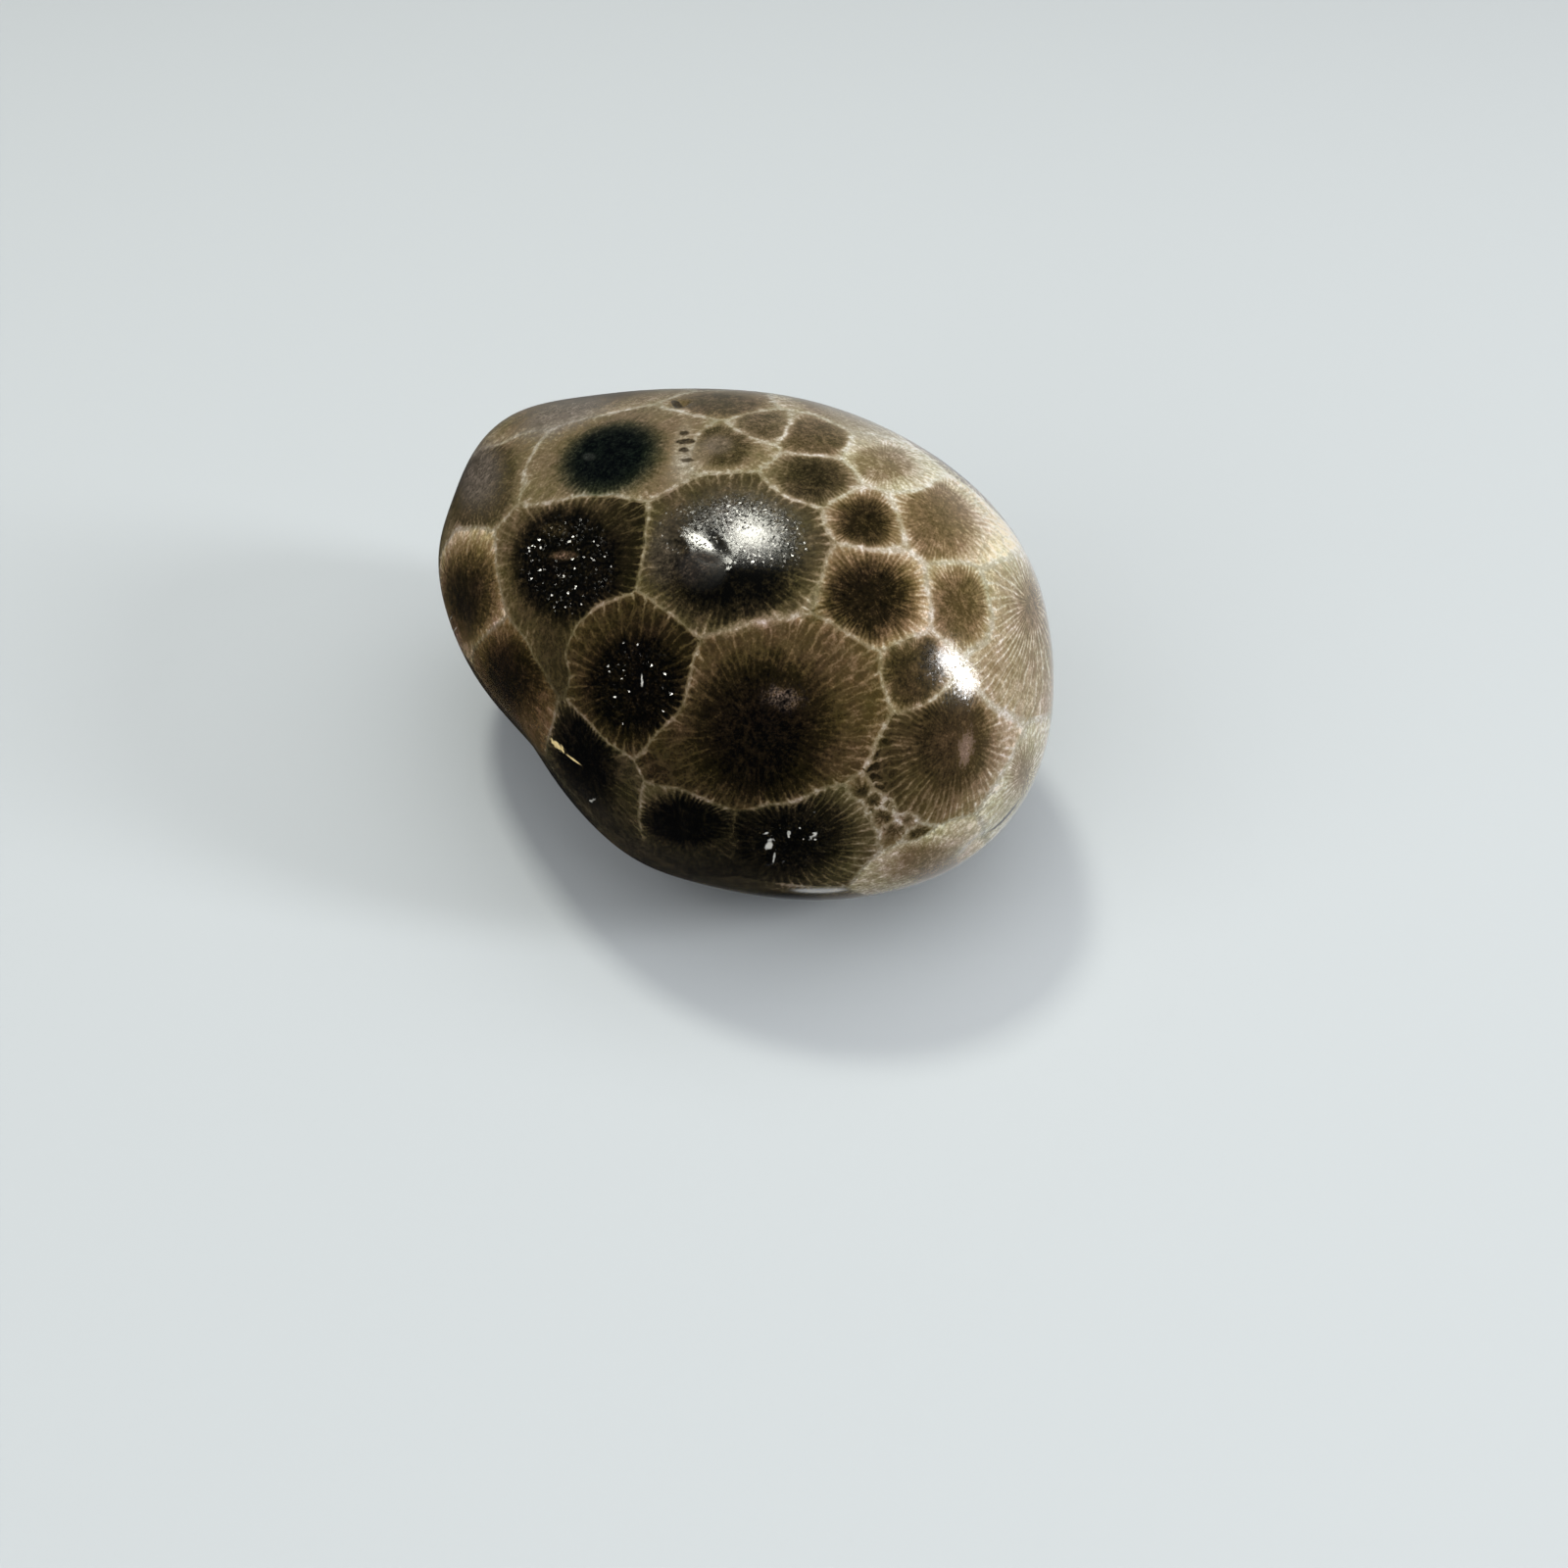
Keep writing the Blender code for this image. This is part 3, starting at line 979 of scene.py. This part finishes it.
# x, y, half width, half height and tilt in pixels
# Painted glints: white ovals where single glints show on the crystals and on the left edge
PAINTED_GLINT_OVALS = (
    (785, 862, 2.6, 6, -38), (805, 851, 1.2, 3.2, 0), (830, 853, 2.2, 4.5, -35), (790, 874, 0.9, 4.5, -10),
    (782, 850, 2.2, 1.0, 10), (604, 817, 2.6, 1.2, 20), (460, 631, 0.2, 2.2, -20), (464, 643, 0.25, 3.0, -20),
    (655, 694, 0.8, 5.5, 0),
)

crystal = carried("crystal", "Fac")
inputs = {"Vector": place_mm, "Scale": GRAINS_PER_MM}
grains = start.node("ShaderNodeTexVoronoi", {"feature": "F1"}, inputs, "Color")
chance, shade, rare = parts(grains)
flecks = chance.step(0.55, 0.95) * crystal.step(0.0, 0.15) * (shade * 0.15 - 0.01)
# A rare grain painted white: partly a pale crystal, partly a painted glint
pale_crystals_and_painted_glints = chance.step(0.997, 0.998) * crystal.step(0.02, 0.10)
for glint_oval in PAINTED_GLINT_OVALS:
    pale_crystals_and_painted_glints = pale_crystals_and_painted_glints.at_least(oval(*glint_oval, edge=0.8, ragged=2.6) * 0.66)
full_tone = full_tone + flecks
print(len(PAINTED_GLINT_OVALS), "large glints")

# %% [markdown]
# ### Colour
# The ramp runs from black over browns to cream. A tint multiplies it: pink in hearts, warm in brown
# corallites but hardly in their septa, cool inside the one green-black disc. Grey marks lose saturation.
# Gold and white are laid on last: the gold of a crystal thread, painted as bright as its glint, and white
# that is partly pale crystal and partly painted glint.

# %% Colour
STOPS = (
    (0.00, (0.0011, 0.0011, 0.0010)), (0.15, (0.0130, 0.0100, 0.0043)), (0.35, (0.058, 0.0430, 0.0178)),
    (0.60, (0.175, 0.128, 0.066)), (0.80, (0.340, 0.285, 0.180)), (1.00, (0.640, 0.585, 0.440)),
)
# A crystal thread's gold, painted as bright as its glint
GOLD_AND_PAINTED_GLINT = (0.80, 0.62, 0.30, 1.0)
# The white of the painted glints
PAINTED_GLINT_WHITE = (0.80, 0.78, 0.72, 1.0)
MIX_COLOURS = {"data_type": "RGBA"}

ramp = start.node("ShaderNodeValToRGB", {}, {0: full_tone})
stops = ramp.socket.node.color_ramp.elements
while len(stops) < len(STOPS):
    stops.new(0.5)
for stop, (position, colour) in zip(stops, STOPS):
    stop.position = position
    stop.color = (*colour, 1.0)

cool = (tint * -1.0).at_least(0.0) * inside
warm = tint.at_least(0.0) * (1.0 - light * 0.8)
tinted = vector(
    1.0 + pink * 0.12 - cool * 0.50,
    1.0 - pink * 0.03 - warm * 0.20 + light * 0.075,
    1.0 + pink * 0.30 + cool * 0.60 - warm * 0.36 + light * 0.24,
)
multiplied = {**MIX_COLOURS, "blend_type": "MULTIPLY"}
colour = start.node("ShaderNodeMix", multiplied, {0: 1.0, 6: ramp, 7: tinted}, 2)
colour = start.node("ShaderNodeHueSaturation", {}, {"Saturation": 1.0 - grey, "Color": colour})
# Painted glint: the gold crystal thread gets a bright pale gold, partly its own colour and partly its
# cleavage's glint
gold_glint_patch = oval(570, 762, 10, 2.0, -42, edge=0.6, ragged=2.5)
gold_glint_thread = oval(585, 775, 9, 0.8, -36, edge=0.8, ragged=0.5)
gold = gold_glint_patch.at_least(gold_glint_thread)
colour = start.node("ShaderNodeMix", MIX_COLOURS, {0: gold, 6: colour, 7: GOLD_AND_PAINTED_GLINT}, 2)
colour = start.node("ShaderNodeMix", MIX_COLOURS, {0: pale_crystals_and_painted_glints, 6: colour, 7: PAINTED_GLINT_WHITE}, 2)
print("the ramp has", len(stops), "stops")

# %% [markdown]
# ### The polish
# Polished limestone is glossy all over, so most of the look is one roughness. Two things break it. In the
# satin places fine grain was left standing, which spreads the highlight: a low bump does the grain, and
# each Voronoi grain also leans by chance, a few of them strongly, so that single grains glint at the edge
# of the haze. The dome is duller than the rest, and so, slightly, are the walls and crystals.

# %% The polish
ROUGHNESS = 0.11
REFRACTION = 1.5
# How far a grain leans, as a share of the normal: the strongest and the rest in satin places, and elsewhere
GRAIN_LEAN = 0.40
GRAIN_LEAN_LEAST = 0.03
GRAIN_LEAN_CLEAR = 0.003

dome = oval(715, 582, 25, 22, 0, edge=0.6)
haze_heart = oval(769, 551, 27, 20, 0, edge=1.6, share=0.75)
uneven = satin * (1.0 - haze_heart)
bumps = grain(place_mm, 6.5, 1.0) * (0.0008 + uneven * 0.0030)
relief = start.node("ShaderNodeBump", {}, {"Strength": 1.0, "Distance": MM, "Height": bumps})
lean_way = start.node("ShaderNodeVectorMath", {"operation": "SUBTRACT"}, {0: grains, 1: (0.5, 0.5, 0.5)})
lean_share = uneven * (rare**4 * GRAIN_LEAN + GRAIN_LEAN_LEAST) + GRAIN_LEAN_CLEAR
lean = start.node("ShaderNodeVectorMath", {"operation": "SCALE"}, {0: lean_way, "Scale": lean_share})
relief = start.node("ShaderNodeVectorMath", {"operation": "ADD"}, {0: relief, 1: lean})
relief = start.node("ShaderNodeVectorMath", {"operation": "NORMALIZE"}, {0: relief})
roughness = ROUGHNESS + satin * 0.13 + dome * 0.30 + light * 0.03 + crystal.step(0.0, 0.1) * 0.08
inputs = {"Base Color": colour, "Roughness": roughness, "Normal": relief, "IOR": REFRACTION}
surface = start.node("ShaderNodeBsdfPrincipled", {}, inputs)
tree.links.new(surface.socket, tree.nodes.new("ShaderNodeOutputMaterial").inputs["Surface"])
stone.data.materials.append(material)
print("the material has", len(tree.nodes), "nodes in all")

# %% [markdown]
# ## Floor, lights and room
# The stone lies on a plain pale table top. One big face is enough for it. The polish would mirror it in the
# lower half of the stone, where the photograph shows none, so the floor doesn't show in reflections.

# %% The floor
FLOOR_HALF = 1.5
FLOOR_COLOUR = (0.44, 0.47, 0.49, 1.0)
FLOOR_ROUGHNESS = 0.9

bm = bmesh.new()
bmesh.ops.create_grid(bm, x_segments=1, y_segments=1, size=FLOOR_HALF)
floor_mesh = bpy.data.meshes.new("floor")
bm.to_mesh(floor_mesh)
bm.free()
floor = bpy.data.objects.new("floor", floor_mesh)
bpy.context.scene.collection.objects.link(floor)
floor_material = bpy.data.materials.new("pale_floor")
floor_material.use_nodes = True
floor_shader = floor_material.node_tree.nodes["Principled BSDF"]
floor_shader.inputs["Base Color"].default_value = FLOOR_COLOUR
floor_shader.inputs["Roughness"].default_value = FLOOR_ROUGHNESS
floor_mesh.materials.append(floor_material)
floor.visible_glossy = False
print("the floor is", 2 * FLOOR_HALF, "m wide")

# %% [markdown]
# ### Lights
# A narrow strip at the right draws the long highlight on the shoulder. A small softbox high behind the
# stone makes the haze and the glint on the facet. Both are small, because a polished stone shows a light's
# own shape. Two large lights only lift the shadows, so the polish doesn't show them.

# %% Lights
STONE_MIDDLE = Vector(MIDDLE) * MM


def soft_light(name, azimuth, elevation, distance, wide, high, power, seen_in_polish=True, colour=(1, 1, 1)):
    """A rectangular light aimed at the stone's middle, from this direction and distance."""
    data = bpy.data.lights.new(name, "AREA")
    data.shape = "RECTANGLE"
    data.size = wide
    data.size_y = high
    data.energy = power
    data.color = colour
    light_object = bpy.data.objects.new(name, data)
    bpy.context.scene.collection.objects.link(light_object)
    back = Vector(toward(azimuth, elevation))
    light_object.location = STONE_MIDDLE + back * distance
    light_object.rotation_euler = back.to_track_quat("Z", "Y").to_euler()
    light_object.visible_glossy = seen_in_polish
    print(name, "gives", power, "W")


# Name, azimuth and elevation in degrees, then distance, width and height in metres, and power in watts
soft_light("strip at the right", 23.5, 26, 0.6, 0.085, 0.20, 2.1)
soft_light("softbox high behind", *SOFTBOX_WAY, SOFTBOX_AWAY * MM, 0.08, 0.08, 1.6, colour=(1.0, 0.99, 0.88))
soft_light("large fill overhead", 20, 75, 1.0, 1.2, 1.2, 9, seen_in_polish=False)
soft_light("large fill from the front left", -95, 35, 1.0, 1.0, 1.0, 7, seen_in_polish=False)

# %% [markdown]
# ### The room that the polish mirrors
# A polished stone in an empty black room looks like coal. The world's light is dim, and it brightens
# towards three places: a backdrop behind the stone, a far wall beside it, and a thin table edge low down,
# which draws the bright line under the stone's lower rim. A wide soft light could do the same, but would
# also light the stone.

# %% The room
BACKDROP = toward(75, -25)
FAR_WALL = toward(125, -8)
TABLE_EDGE = toward(119, -82)
ROOM_COLOUR = (0.92, 0.96, 1.0, 1.0)

world = bpy.data.worlds.new("dim studio")
bpy.context.scene.world = world
world.use_nodes = True
room = Wire(world.node_tree)
direction = room.node("ShaderNodeTexCoord", {}, {}, "Generated")


def facing(way):
    """How nearly a direction of the room is this way: the cosine of the angle between them."""
    return room.node("ShaderNodeVectorMath", {"operation": "DOT_PRODUCT"}, {0: direction, 1: way}, "Value")


strength = 0.015 + facing(BACKDROP).step(0.5, 0.95) * 0.65
strength = strength + facing(FAR_WALL).step(0.80, 0.97) * 0.13
strength = strength + facing(TABLE_EDGE).step(0.9970, 0.9988) * 1.3
background = world.node_tree.nodes["Background"]
world.node_tree.links.new(strength.socket, background.inputs["Strength"])
background.inputs["Color"].default_value = ROOM_COLOUR
bpy.context.scene.view_settings.view_transform = "Standard"
print("the room has", len(world.node_tree.nodes), "nodes")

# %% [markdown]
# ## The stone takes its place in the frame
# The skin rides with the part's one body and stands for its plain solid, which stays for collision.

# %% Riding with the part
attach(stone, "root")
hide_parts("petoskey_stone")
